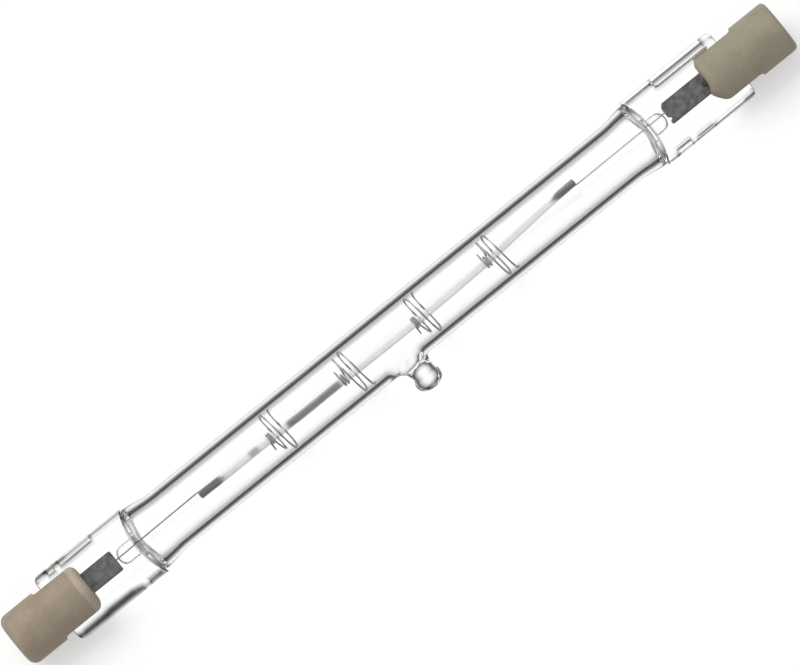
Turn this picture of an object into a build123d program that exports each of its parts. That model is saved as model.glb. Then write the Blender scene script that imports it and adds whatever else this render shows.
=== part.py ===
"""A double-ended linear halogen lamp, lying on a table.

One fused quartz tube is pressed flat at both ends and sealed off at a tip on its side.
Inside hangs a tungsten coil on four wire rings. Thin foils carry the current through the
pressed ends to contacts that sit deep in two slotted ceramic caps. All sizes are millimetres.
"""

from build123d import *
from math import asin, cos, pi, sin
import os

os.makedirs("parts", exist_ok=True)

# Whole lamp
lamp_length = 117.6
ends = {"left": -1, "right": 1}

# Quartz tube
tube_radius = 4.0
bore_radius = 3.12

# Pressed ends: a thin web between two thicker rails, like a letter I
pinch_width = 9.1
pinch_inset = {"left": 6.4, "right": 7.3}
web_thickness = 2.4
rail_thickness = 2.9
rail_width_inner = 0.4
rail_width_outer = 0.85
rail_widening = {"left": 3.8, "right": 3.6}
pinch_corner = 0.8
rail_bevel = 0.3

# Shoulders, where the round tube turns into the flat pinch
shoulder_inset = {"left": 18.6, "right": 19.8}
flare_length = 5.2
flare_growth = 0.45
flare_end_half = 1.14
flare_steps = 5
flare_crowding = 1.8
pinch_foot = 4.2
pinch_full = 1.6
shoulder_wall = 0.65
hollow_end_half = 0.45
hollow_steps = 4
tongue_width = 2.6
tongue_height = 0.5
tongue_round = 1.0
tongue_gap = 0.25

# Sealed exhaust tip
tip_place = -0.5
tip_ball_radius = 1.7
tip_ball_reach = 6.1
tip_neck_radius = 1.45
tip_foot_radius = 2.5
tip_foot_reach = 3.4
dimple_radius = 1.8
dimple_root = 2.5
dimple_end_radius = 0.7
dimple_reach = 4.4

# Foils and outer leads inside the pinches
foil_width = 3.0
foil_length = 8.0
foil_thickness = 0.05
foil_set_off = {"left": 2.9, "right": 2.35}
foil_rise = 0.18
weld_length = 1.0
lead_radius = 0.4
lead_set_off = {"left": 5.1, "right": 5.55}
lead_gap = 0.1

# Filament
wire_radius = 0.1
coil_radius = 0.52
coil_wall = 0.22
coil_inset = {"left": 9.7, "right": 11.2}
coil_end_rise = {"left": -0.1, "right": 0.88}
tail_side = {"left": 1, "right": -1}
tail_root = 0.3
core_length = 3.9
core_gap = 0.02

# Wire supports
support_places = (-19.7, -8.4, 2.5, 13.7)
support_rises = (-0.15, -0.2, -0.25, 0.03)
support_wire_radius = 0.12
ring_gap = 0.15
ring_turns = 1.75
ring_pitch = 0.75
knot_turns = 2.0
knot_pitch = 0.34
knot_gap = 0.04
leg_turns = 0.3
leg_advance = 0.6
wire_sides = 5
knot_steps = 8
ring_steps = 12

# Ceramic caps
cap_length = 11.2
cap_radius = 3.525
slot_depth = 6.0
slot_gap = 0.09
slot_round = 0.5
cap_front_bevel = 0.6
cap_rear_bevel = 0.5
recess_radius = 1.8
recess_depth = 1.7

# Contacts and cement
contact_radius = 1.4
contact_thickness = 0.5
contact_bore_radius = 0.8
contact_gap = 0.03
cement_set_back = 0.5
cement_width = 5.0

# Places along the lamp, as distances from its middle
cap_end = lamp_length / 2
pinch_half = {name: cap_end - pinch_inset[name] for name in ends}
shoulder = {name: cap_end - shoulder_inset[name] for name in ends}
rail_step = {name: shoulder[name] + rail_widening[name] for name in ends}
foil_start = {name: shoulder[name] + foil_set_off[name] for name in ends}
lead_start = {name: foil_start[name] + lead_set_off[name] for name in ends}
coil_half = {name: shoulder[name] - coil_inset[name] for name in ends}
cap_front = cap_end - cap_length
slot_end = cap_front + slot_depth
contact_face = cap_end - recess_depth
contact_back = contact_face - contact_thickness

# Other sizes that follow from the ones above
tip_neck_reach = tip_ball_reach - (tip_ball_radius**2 - tip_neck_radius**2) ** 0.5
pinch_half_width = pinch_width / 2
web_half = web_thickness / 2
rail_half = rail_thickness / 2
foil_top = -wire_radius
lead_height = foil_top + lead_radius
slot_height = rail_thickness + 2 * slot_gap
coil_bore_radius = coil_radius - coil_wall
coil_mid_radius = coil_radius - coil_wall / 2
ring_radius = bore_radius - ring_gap - support_wire_radius
knot_radius = coil_radius + knot_gap + support_wire_radius

# The lamp lies on its tube and on its tip, which turns the flat of the pinches by this angle
lie_angle = asin((tube_radius - tip_ball_radius) / tip_ball_reach)
reach_front = tip_ball_reach * cos(lie_angle) + tip_ball_radius
rail_side = pinch_half_width * cos(lie_angle) + (rail_half - rail_bevel) * sin(lie_angle)
axis_y = (reach_front - rail_side) / 2

# The lamp's own plane: X along the lamp, local Y across the pinch and away from the tip
lamp = Plane(
    origin=(0, axis_y, tube_radius),
    x_dir=(1, 0, 0),
    z_dir=(0, -sin(lie_angle), cos(lie_angle)),
)


def place(x, y=0.0, z=0.0):
    """A point given along the lamp, across the pinch and through it."""
    return lamp.from_local_coords(Vector(x, y, z))


def station(side, distance, y=0.0, z=0.0):
    """The plane across the lamp at a distance from its middle, facing that side's end."""
    return Plane(origin=place(side * distance, y, z), x_dir=lamp.y_dir, z_dir=(side, 0, 0))


# The same plane with its origin under the tip, for what is turned about the tip's own axis
tip_plane = Plane(origin=place(tip_place), x_dir=lamp.x_dir, z_dir=lamp.z_dir)
tip_axis = Axis(tip_plane.origin, tip_plane.y_dir)


def outermost(shapes, side):
    """The faces, edges or corners that lie farthest out on the given side."""
    return shapes.group_by(Axis.X)[0 if side < 0 else -1]


def flare(side, end, length, radius, end_half, steps):
    """Lofts a round section out to a wide flat one, whose height falls ever more steeply.

    With share running from 0 to 1 along the flare, the height is the end's height plus the
    rest times the root of 1 minus share cubed, and the width grows with a smooth step.
    """
    sections = []
    for i in range(steps + 1):
        share = 1 - (1 - i / steps) ** flare_crowding
        half_width = radius + flare_growth * share * share * (3 - 2 * share)
        half_height = end_half + (radius - end_half) * (1 - share**3) ** 0.5
        with BuildSketch(station(side, end - length * (1 - share))) as section:
            if i == 0:
                Circle(radius)
            else:
                Ellipse(half_width, half_height)
        sections.append(section.sketch.face())
    loft(sections, ruled=True)


def wire_channel(side, start, end, y, z, radius):
    """Cuts a round-topped channel whose flat bottom is the foil, for the wire welded to it."""
    depth = z - foil_top
    with BuildSketch(station(side, start, y, z)) as section:
        Circle(radius)
        with Locations((0, -side * depth / 2)):
            Rectangle(2 * radius, depth)
    extrude(section.sketch, amount=end - start, mode=Mode.SUBTRACT)


# Pressed ends of the tube: both slabs, with a pocket in each face between the rails
with BuildPart() as pinches:
    for name, side in ends.items():
        foot = shoulder[name] - pinch_foot
        full = shoulder[name] - pinch_full
        foot_half = tube_radius - flare_growth
        end = pinch_half[name]
        with BuildSketch(lamp.offset(-rail_half)) as outline:
            with BuildLine():
                Polyline(
                    (side * foot, -foot_half),
                    (side * full, -pinch_half_width),
                    (side * end, -pinch_half_width),
                    (side * end, pinch_half_width),
                    (side * full, pinch_half_width),
                    (side * foot, foot_half),
                    close=True,
                )
            make_face()
            fillet(outermost(outline.vertices(), side), pinch_corner)
        extrude(amount=rail_thickness)
    chamfer(pinches.faces().filter_by(lamp).edges(), rail_bevel)
    for name, side in ends.items():
        inner_half = pinch_half_width - rail_width_inner
        outer_half = pinch_half_width - rail_width_outer
        start = shoulder[name] - pinch_full
        step = rail_step[name]
        for face in (-1, 1):
            with BuildSketch(lamp.offset(face * web_half)):
                with Locations((side * (start + step) / 2, 0)):
                    Rectangle(step - start, 2 * inner_half)
                with Locations((side * (step + slot_end) / 2, 0)):
                    Rectangle(slot_end - step, 2 * outer_half)
            extrude(amount=face * rail_half, mode=Mode.SUBTRACT)

# Hollow of the tube: the bore, its flattened ends, the tongues along the wires and the dimple
with BuildPart() as hollow:
    with BuildSketch(station(-1, shoulder["left"] - flare_length)):
        Circle(bore_radius)
    extrude(amount=2 * flare_length - shoulder["left"] - shoulder["right"])
    with BuildSketch(tip_plane):
        with BuildLine():
            Polyline(
                (0, 0),
                (0, -dimple_reach),
                (dimple_end_radius, -dimple_reach),
                (dimple_radius, -dimple_root),
                close=True,
            )
        make_face()
    revolve(axis=tip_axis)
    for name, side in ends.items():
        hollow_end = shoulder[name] - shoulder_wall
        hollow_length = flare_length - shoulder_wall
        flare(side, hollow_end, hollow_length, bore_radius, hollow_end_half, hollow_steps)
        tongue_start = shoulder[name] - pinch_full
        tongue_end = foil_start[name] - tongue_gap
        with BuildSketch(lamp.offset(-tongue_height / 2)) as tongue:
            with Locations((side * (tongue_start + tongue_end) / 2, 0)):
                Rectangle(tongue_end - tongue_start, tongue_width)
            fillet(outermost(tongue.vertices(), side), tongue_round)
        extrude(amount=tongue_height)

# Quartz envelope
with BuildPart() as quartz_envelope:
    with BuildSketch(station(-1, shoulder["left"] - flare_length)):
        Circle(tube_radius)
    extrude(amount=2 * flare_length - shoulder["left"] - shoulder["right"])

    # Exhaust tip: a foot that runs out of the tube, a neck and the ball that closed it
    with BuildSketch(tip_plane):
        with BuildLine():
            foot = (-tip_foot_radius, -tip_foot_reach)
            neck = (-tip_neck_radius, -tip_neck_reach)
            ball_side = (-tip_ball_radius, -tip_ball_reach)
            tip_end = (0, -tip_ball_reach - tip_ball_radius)
            Polyline((0, -tip_foot_reach), foot, neck)
            ThreePointArc(neck, ball_side, tip_end)
            Line(tip_end, (0, -tip_foot_reach))
        make_face()
    revolve(axis=tip_axis)

    # Flares from the round tube to the flat pinches, each ending in a steep shoulder
    for name, side in ends.items():
        flare(side, shoulder[name], flare_length, tube_radius, flare_end_half, flare_steps)
    add(pinches.part)
    add(hollow.part, mode=Mode.SUBTRACT)

    # Pockets that the quartz leaves round the foils and the wires welded to them
    for name, side in ends.items():
        start = foil_start[name]
        middle = place(side * (start + foil_length / 2), foil_rise, foil_top)
        with BuildSketch(Plane(origin=middle, x_dir=lamp.x_dir, z_dir=lamp.z_dir)):
            Rectangle(foil_length, foil_width)
        extrude(amount=-foil_thickness, mode=Mode.SUBTRACT)
        tail_rise = coil_end_rise[name] + tail_side[name] * coil_mid_radius
        tail_end = start + weld_length
        wire_channel(side, start - 2 * tongue_gap, tail_end, tail_rise, 0, wire_radius)
        wire_channel(side, lead_start[name], slot_end, foil_rise, lead_height, lead_radius)

quartz_envelope.part.label = "quartz_envelope"
export_step(quartz_envelope.part, "parts/quartz_envelope.step")

# Filament: a thin-walled tube stands for the fine turns, and a straight tail leaves each end
coil_points = [(-coil_half["left"], coil_end_rise["left"])]
coil_points += list(zip(support_places, support_rises))[2:]
coil_points += [(coil_half["right"], coil_end_rise["right"])]
with BuildPart() as filament:
    with BuildLine(lamp) as coil_path:
        Polyline(*coil_points)
    with BuildSketch(Plane(origin=coil_path.line @ 0, z_dir=coil_path.line % 0)):
        Circle(coil_radius)
        Circle(coil_bore_radius, mode=Mode.SUBTRACT)
    sweep(transition=Transition.RIGHT)
    for name, side in ends.items():
        tail_rise = coil_end_rise[name] + tail_side[name] * coil_mid_radius
        tail_start = coil_half[name] - tail_root
        with BuildSketch(station(side, tail_start, tail_rise)):
            Circle(wire_radius)
        extrude(amount=foil_start[name] + weld_length - tail_start)

filament.part.label = "filament"
export_step(filament.part, "parts/filament.step")

# Cores of the close-wound end turns
for name, side in ends.items():
    coil_end = coil_path.line @ (0 if side < 0 else 1)
    inward = (coil_path.line % (0 if side < 0 else 1)) * -side
    with BuildPart() as filament_core:
        with BuildSketch(Plane(origin=coil_end, z_dir=inward)):
            Circle(coil_bore_radius - core_gap)
        extrude(amount=core_length)
    filament_core.part.label = f"filament_core_{name}"
    export_step(filament_core.part, f"parts/filament_core_{name}.step")


def support_point(turn, knot_x, rise):
    """A point of the support wire: a knot round the coil, a leg outwards, then a ring.

    The wire turns about the coil's own line in the knot and about the tube's in the ring.
    """
    out = min(max((turn - knot_turns) / leg_turns, 0), 1)
    out = out * out * (3 - 2 * out)
    radius = knot_radius + (ring_radius - knot_radius) * out
    knot_part = min(turn, knot_turns) - knot_turns / 2
    ring_part = max(turn - knot_turns - leg_turns, 0)
    x = knot_x + knot_pitch * knot_part + leg_advance * out + ring_pitch * ring_part
    y = rise * (1 - out) - radius * cos(2 * pi * turn)
    return place(x, y, radius * sin(2 * pi * turn))


# Wire supports, each one wire lofted from short straight lengths with a few flat sides
far_turns = leg_turns + ring_turns
far_steps = round(far_turns * ring_steps)
wire_turns = [i / knot_steps for i in range(round(knot_turns * knot_steps))]
wire_turns += [knot_turns + far_turns * i / far_steps for i in range(far_steps + 1)]
for number, (knot_x, rise) in enumerate(zip(support_places, support_rises), start=1):
    sections = []
    for turn in wire_turns:
        here = support_point(turn, knot_x, rise)
        along = support_point(turn + 0.01, knot_x, rise) - support_point(turn - 0.01, knot_x, rise)
        outward = lamp.y_dir * -cos(2 * pi * turn) + lamp.z_dir * sin(2 * pi * turn)
        flat_out = outward - along * (outward.dot(along) / along.dot(along))
        with BuildSketch(Plane(origin=here, x_dir=flat_out, z_dir=along)) as section:
            RegularPolygon(support_wire_radius, wire_sides)
        sections.append(section.sketch.face())
    with BuildPart() as filament_support:
        loft(sections, ruled=True)
    filament_support.part.label = f"filament_support_{number}"
    export_step(filament_support.part, f"parts/filament_support_{number}.step")

# Foils, outer leads, contacts, cement and caps, which are alike at both ends
for name, side in ends.items():
    foil_middle = place(side * (foil_start[name] + foil_length / 2), foil_rise, foil_top)
    with BuildPart() as foil:
        with BuildSketch(Plane(origin=foil_middle, x_dir=lamp.x_dir, z_dir=lamp.z_dir)):
            Rectangle(foil_length, foil_width)
        extrude(amount=-foil_thickness)
    foil.part.label = f"foil_{name}"
    export_step(foil.part, f"parts/foil_{name}.step")

    with BuildPart() as outer_lead:
        with BuildSketch(station(side, lead_start[name], foil_rise, lead_height)):
            Circle(lead_radius)
        extrude(amount=contact_back - lead_gap - lead_start[name])
    outer_lead.part.label = f"outer_lead_{name}"
    export_step(outer_lead.part, f"parts/outer_lead_{name}.step")

    with BuildPart() as contact:
        with BuildSketch(station(side, slot_end)):
            Circle(contact_radius)
        extrude(amount=contact_face - slot_end)
        with BuildSketch(station(side, slot_end)):
            Circle(contact_bore_radius)
        extrude(amount=contact_back - slot_end, mode=Mode.SUBTRACT)
    contact.part.label = f"contact_{name}"
    export_step(contact.part, f"parts/contact_{name}.step")

    with BuildPart() as slot:
        with BuildSketch(lamp.offset(-slot_height / 2)):
            with Locations((side * (cap_front + slot_end) / 2, 0)):
                Rectangle(slot_depth, 2 * pinch_width)
        extrude(amount=slot_height)
        bottom_edges = outermost(slot.faces(), side).edges()
        fillet(bottom_edges.filter_by(Axis(lamp.origin, lamp.y_dir)), slot_round)

    with BuildPart() as cement:
        cement_start = cap_front + cement_set_back
        with BuildSketch(lamp.offset(-slot_height / 2)):
            with Locations((side * (cement_start + slot_end) / 2, 0)):
                Rectangle(slot_end - cement_start, cement_width)
        extrude(amount=slot_height)
        add(slot.part, mode=Mode.INTERSECT)
        with BuildSketch(lamp.offset(-web_half)):
            with Locations((side * (cap_front + pinch_half[name]) / 2, 0)):
                Rectangle(pinch_half[name] - cap_front, pinch_width)
        extrude(amount=web_thickness, mode=Mode.SUBTRACT)
        with BuildSketch(station(side, cap_front, foil_rise, lead_height)):
            Circle(lead_radius)
        extrude(amount=slot_end - cap_front, mode=Mode.SUBTRACT)
    cement.part.label = f"cement_{name}"
    export_step(cement.part, f"parts/cement_{name}.step")

    with BuildPart() as ceramic_cap:
        with BuildSketch(station(side, cap_front)):
            Circle(cap_radius)
        extrude(amount=cap_length)
        chamfer(outermost(ceramic_cap.edges(), side), cap_rear_bevel)
        chamfer(outermost(ceramic_cap.edges(), -side), cap_front_bevel)
        add(slot.part, mode=Mode.SUBTRACT)
        for radius, start, end in (
            (contact_radius + contact_gap, slot_end, contact_face),
            (recess_radius, contact_face, cap_end),
        ):
            with BuildSketch(station(side, start)):
                Circle(radius)
            extrude(amount=end - start, mode=Mode.SUBTRACT)
    ceramic_cap.part.label = f"ceramic_cap_{name}"
    export_step(ceramic_cap.part, f"parts/ceramic_cap_{name}.step")
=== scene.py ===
# %% [markdown]
# # A linear halogen bulb in a light studio
#
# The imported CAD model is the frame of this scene: it says how large each piece is and where it
# lies. This notebook dresses it. The fine things that a solid model leaves out, such as the turns
# of the filament, are worked out here as surfaces, and each finish is mixed from nodes.

# %% Load the frame
import bmesh
import bpy
import numpy as np
from math import asin, cos, pi, radians, sin
from mathutils import Matrix, Vector


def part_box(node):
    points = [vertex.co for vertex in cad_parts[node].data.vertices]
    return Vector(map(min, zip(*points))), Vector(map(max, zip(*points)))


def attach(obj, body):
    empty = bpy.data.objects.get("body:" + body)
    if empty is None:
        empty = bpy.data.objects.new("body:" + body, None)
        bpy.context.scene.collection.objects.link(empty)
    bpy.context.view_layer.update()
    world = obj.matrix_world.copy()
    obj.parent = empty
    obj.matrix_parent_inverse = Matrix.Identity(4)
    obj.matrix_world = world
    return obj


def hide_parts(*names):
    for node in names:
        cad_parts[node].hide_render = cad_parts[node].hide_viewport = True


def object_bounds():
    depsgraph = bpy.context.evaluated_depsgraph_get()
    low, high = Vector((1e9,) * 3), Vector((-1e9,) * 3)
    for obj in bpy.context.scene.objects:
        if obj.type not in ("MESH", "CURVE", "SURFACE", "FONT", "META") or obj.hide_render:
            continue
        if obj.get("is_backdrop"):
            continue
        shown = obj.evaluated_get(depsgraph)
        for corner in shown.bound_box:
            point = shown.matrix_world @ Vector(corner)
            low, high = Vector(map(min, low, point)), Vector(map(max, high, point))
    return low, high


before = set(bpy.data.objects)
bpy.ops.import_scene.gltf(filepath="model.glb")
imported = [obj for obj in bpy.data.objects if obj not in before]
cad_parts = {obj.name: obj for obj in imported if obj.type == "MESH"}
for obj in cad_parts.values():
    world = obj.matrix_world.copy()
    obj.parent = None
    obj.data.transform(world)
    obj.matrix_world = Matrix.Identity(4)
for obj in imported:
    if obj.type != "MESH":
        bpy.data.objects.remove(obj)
cad_box = [list(corner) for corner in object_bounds()]
print("nodes", len(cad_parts), "box in mm", [[round(v * 1000, 2) for v in c] for c in cad_box])

# %% [markdown]
# ## The lamp's own directions
#
# The lamp lies on its tube and on the sealed tip, so the flat of its pressed ends leans. It is
# easier to shape every piece in the lamp's own frame: x runs along the lamp, y across the flat
# and away from the tip, and z through the flat. All shapes below are in millimetres there, and one
# function carries them to the row's frame in metres. The sine of the lean is the tube's radius
# less the tip ball's, over the ball's distance from the axis.

# %% The lamp's own frame
MM = 0.001
tube_radius, bore_radius = 4.0, 3.12
tip_x, ball_radius, ball_reach = -0.5, 1.7, 6.1
lean = asin((tube_radius - ball_radius) / ball_reach)
cap_low, cap_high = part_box("ceramic_cap_left")
middle = np.array([0.0, (cap_low.y + cap_high.y) / 2, (cap_low.z + cap_high.z) / 2])
lengthwise = np.array([1.0, 0.0, 0.0])
across = np.array([0.0, cos(lean), sin(lean)])
through = np.array([0.0, -sin(lean), cos(lean)])
side_names = {-1: "left", 1: "right"}


def to_row(points):
    """Places points: the lamp's middle, plus x along, y across and z through, each in metres."""
    points = np.asarray(points, float) * MM
    return middle + points[..., :1] * lengthwise + points[..., 1:2] * across + points[..., 2:] * through


print("lean", round(np.degrees(lean), 2), "degrees, axis at", (middle * 1000).round(3), "mm")

# %% [markdown]
# ## Grids of points as meshes
#
# Nearly every piece is a sheet of points with rows and columns. The faces of such a sheet are
# known without looking at the points, so they are counted once as whole arrays.


# %% Faces and meshes
def ease(value, low, high):
    """A smooth step: 0 below low, 1 above high, and 3t squared less 2t cubed between."""
    t = np.clip((np.asarray(value, float) - low) / (high - low), 0, 1)
    return t * t * (3 - 2 * t)


def stacked(*values):
    """Values side by side in a last axis. Each may be one number, a row or a whole sheet."""
    return np.stack(np.broadcast_arrays(*values), axis=-1)


def sheet_faces(rows, columns):
    """Quads of a sheet whose columns close into a ring: each corner and its next row and column."""
    first, column = np.arange(rows - 1)[:, None] * columns, np.arange(columns)
    here, nxt = first + column, first + (column + 1) % columns
    return stacked(here, nxt, nxt + columns, here + columns).reshape(-1, 4)


def fan_faces(ring, pole):
    """Triangles from each side of a ring of indices to one pole."""
    return [[int(a), int(b), int(pole)] for a, b in zip(ring, np.roll(ring, -1))]


def closed_rings(count, sides):
    """Faces of a row of rings, closed by fans to the two poles that follow their points."""
    ring = np.arange(sides)
    faces = sheet_faces(count, sides).tolist() + [f[::-1] for f in fan_faces(ring, count * sides)]
    return faces + fan_faces((count - 1) * sides + ring, count * sides + 1)


def flat_ends(rows, columns):
    """Faces that close both ends of a sheet: each joins a side of the upper half to the one below."""
    half = np.arange(columns // 2)
    strips = stacked(half, half + 1, columns - 1 - half, -half % columns)
    ends = strips[:, ::-1].tolist() + (strips + (rows - 1) * columns).tolist()
    return [list(dict.fromkeys(f)) for f in ends]


def volume_of(points, faces):
    """Six times the signed volume: corner one dot the cross of the next two, summed over fans."""
    total = 0.0
    for size in (3, 4):
        picked = np.array([f for f in faces if len(f) == size], int).reshape(-1, size)
        for k in range(1, size - 1):
            a, b, c = (points[picked[:, i]] for i in (0, k, k + 1))
            total += np.einsum("ij,ij->i", a, np.cross(b, c)).sum()
    return total


def facing(points, faces, outward=True):
    """The same faces, all turned round if the shell's volume has the wrong sign."""
    right = (volume_of(points, faces) > 0) == outward
    return faces if right else [f[::-1] for f in faces]


def make_piece(name, points, faces, material, nodes, slot):
    """Makes one piece: points carried to the row's frame, faces as given, riding on the lamp."""
    mesh = bpy.data.meshes.new(name)
    mesh.from_pydata(to_row(points).tolist(), [], faces)
    mesh.polygons.foreach_set("use_smooth", np.ones(len(mesh.polygons), bool))
    mesh.materials.append(material)
    mesh.validate()
    piece = bpy.data.objects.new(name, mesh)
    bpy.context.scene.collection.objects.link(piece)
    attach(piece, "root")
    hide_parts(*nodes)
    print(name, "points", len(mesh.vertices), "faces", len(mesh.polygons))
    return piece


# %% [markdown]
# ## Finishes
#
# Fused quartz bends light a little less than window glass, and it is clear to the bone. Light from
# the lamps passes it nearly whole, so a ray on its way to a lamp is let through. The wires are
# tungsten, the foils dull molybdenum, and the caps unglazed steatite, a warm grey ceramic with a
# fine grain and a little soot.


# %% Small helpers for nodes
def node_maker(tree):
    """Empties a node tree and gives a maker of nodes, which links sockets and sets other values."""
    tree.nodes.clear()

    def add(kind, inputs=None, **settings):
        node = tree.nodes.new(kind)
        for key, value in settings.items():
            setattr(node, key, value)
        for key, value in (inputs or {}).items():
            if isinstance(value, bpy.types.NodeSocket):
                tree.links.new(value, node.inputs[key])
            else:
                node.inputs[key].default_value = value
        return node

    return add


def new_material(name):
    """A maker of nodes for a new material, and the last step, which gives it its shader."""
    material = bpy.data.materials.new(name)
    material.use_nodes = True
    add = node_maker(material.node_tree)

    def finished(shader):
        add("ShaderNodeOutputMaterial", {"Surface": shader.outputs[0]})
        return material

    return add, finished


def ramp(add, factor, stops):
    """A colour ramp through places and colours, lowest place first. One number is a grey."""
    node = add("ShaderNodeValToRGB", {"Fac": factor})
    elements = node.color_ramp.elements
    stops = [(place, (*np.broadcast_to(np.array(colour, float), 3), 1.0)) for place, colour in stops]
    for element, (place, colour) in zip((elements[0], elements[1]), (stops[0], stops[-1])):
        element.position, element.color = place, colour
    for place, colour in stops[1:-1]:
        elements.new(place).color = colour
    return node.outputs["Color"]


def multiplied(add, one, other):
    """Two colours multiplied."""
    inputs = {"Factor": 1.0, "A": one, "B": other}
    return add("ShaderNodeMix", inputs, data_type="RGBA", blend_type="MULTIPLY").outputs["Result"]


def worked(add, kind, *values):
    """One step of arithmetic with one, two or three values."""
    return add("ShaderNodeMath", dict(enumerate(values)), operation=kind).outputs[0]


def reach_towards(add, vector, direction):
    """How far a vector reaches in a direction: their dot product."""
    inputs = {0: vector, 1: tuple(direction)}
    return add("ShaderNodeVectorMath", inputs, operation="DOT_PRODUCT").outputs["Value"]


def share_between(add, value, low, high, **settings):
    """Where a value lies between two others: 0 at the low one and 1 at the high one."""
    inputs = {"Value": value, "From Min": low, "From Max": high}
    return add("ShaderNodeMapRange", inputs, **settings).outputs["Result"]


# %% Quartz
def quartz_finish(name, shades):
    """Clear quartz of index 1.458, with painted shade: its colour goes from clear to grey as the
    surface turns away, which draws the edges of the walls dark.

    A ray on its way to a lamp goes straight through, so the lamps light what lies inside.
    """
    add, finished = new_material(name)
    grazing_for_painted_shade = add("ShaderNodeLayerWeight", {"Blend": 0.5}).outputs["Facing"]
    painted_tint = ramp(add, grazing_for_painted_shade, shades)
    inputs = {"Base Color": painted_tint, "Roughness": 0.0, "IOR": 1.458, "Transmission Weight": 1.0}
    glass = add("ShaderNodeBsdfPrincipled", inputs)
    clear = add("ShaderNodeBsdfTransparent", {"Color": (0.96, 0.96, 0.96, 1.0)})
    to_lamp = add("ShaderNodeLightPath").outputs["Is Shadow Ray"]
    return finished(add("ShaderNodeMixShader", {0: to_lamp, 1: glass.outputs[0], 2: clear.outputs[0]}))


# Both quartz finishes paint shade: grey where the surface turns away, strongest on the bore's wall.
quartz = quartz_finish("clear_quartz_painted_edge_shade", [(0.0, 1.0), (0.8, 1.0), (1.0, 0.7)])
bore_quartz = quartz_finish("clear_quartz_bore_painted_edge_shade", [(0.0, 1.0), (0.3, 0.97), (0.55, 0.7), (0.9, 0.35)])


# %% Tungsten and molybdenum
def metal_finish(name, dark, light, roughness, grain, bump_height, metallic=1.0, shade=None):
    """Metal whose grey drifts between two values with a noise of the given grain per metre.

    A shade, where it is given, makes a second colour from the place, and the two are multiplied.
    """
    add, finished = new_material(name)
    place = add("ShaderNodeTexCoord").outputs["Object"]
    noise = add("ShaderNodeTexNoise", {"Vector": place, "Scale": grain, "Detail": 4.0}).outputs["Fac"]
    colour = ramp(add, noise, [(0.35, dark), (0.65, light)])
    if shade:
        colour = multiplied(add, colour, shade(add, place))
    bump = add("ShaderNodeBump", {"Strength": 0.4, "Distance": bump_height, "Height": noise}).outputs["Normal"]
    inputs = {"Base Color": colour, "Metallic": metallic, "Roughness": roughness, "Normal": bump}
    return finished(add("ShaderNodeBsdfPrincipled", inputs))


wear_half, foil_rise, foil_half = 32, 0.18, 1.5
wear_along = [
    (-30.4, 0.12), (-27.6, 0.10), (-26.9, 0.8), (-23.1, 1.0), (-22.7, 0.3), (-21.8, 0.3), (-21.3, 1.0),
    (-17.4, 1.0), (-16.9, 0.22), (-9.3, 0.26), (-8.8, 1.0), (24.2, 1.0), (25.0, 0.12), (27.9, 0.1), (28.1, 0.4),
]


def coil_wear_and_painted_shade(add, place):
    """The coil's grey by its place along the lamp, dull in a few stretches and in the end turns.

    The mesh's own attribute for the lower side of the turns darkens that side as painted shade.
    """
    along = add("ShaderNodeSeparateXYZ", {"Vector": place}).outputs["X"]
    share = share_between(add, along, -wear_half * MM, wear_half * MM)
    worn = ramp(add, share, [((x + wear_half) / (2 * wear_half), v) for x, v in wear_along])
    painted_shade = add("ShaderNodeAttribute", attribute_name="painted_shade_below").outputs["Fac"]
    return multiplied(add, worn, ramp(add, painted_shade, [(0.0, 1.0), (1.0, 0.12)]))


def foil_edges(add, place):
    """Darker in the outer fifth of the half width."""
    centre = float(np.dot(middle, across)) + foil_rise * MM
    off = worked(add, "SUBTRACT", reach_towards(add, place, across), centre)
    share = share_between(add, worked(add, "ABSOLUTE", off), 0.0, foil_half * MM)
    return ramp(add, share, [(0.0, 1.0), (0.8, 0.95), (0.97, 0.4)])


# The filament's finish paints shade on the lower side of its turns.
tungsten = metal_finish(
    "worn_tungsten_painted_shade", (0.80, 0.80, 0.79), (0.92, 0.92, 0.91), 0.55, 900.0, 0.00002, metallic=0.1, shade=coil_wear_and_painted_shade
)
support_tungsten = metal_finish("grey_tungsten", 0.15, 0.30, 0.45, 1200.0, 0.00002, metallic=0.6)
sooty_tungsten = metal_finish("dark_tungsten", 0.05, 0.16, 0.4, 1500.0, 0.00002)
molybdenum = metal_finish(
    "rolled_molybdenum", (0.075, 0.074, 0.073), (0.165, 0.162, 0.16), 0.5, 1400.0, 0.00003, shade=foil_edges
)
burnt_molybdenum = metal_finish("burnt_molybdenum", (0.02, 0.014, 0.01), (0.07, 0.05, 0.035), 0.6, 1500.0, 0.00003)
plated = metal_finish("plated_contact", (0.45, 0.44, 0.42), (0.62, 0.61, 0.58), 0.3, 800.0, 0.00002)


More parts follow.
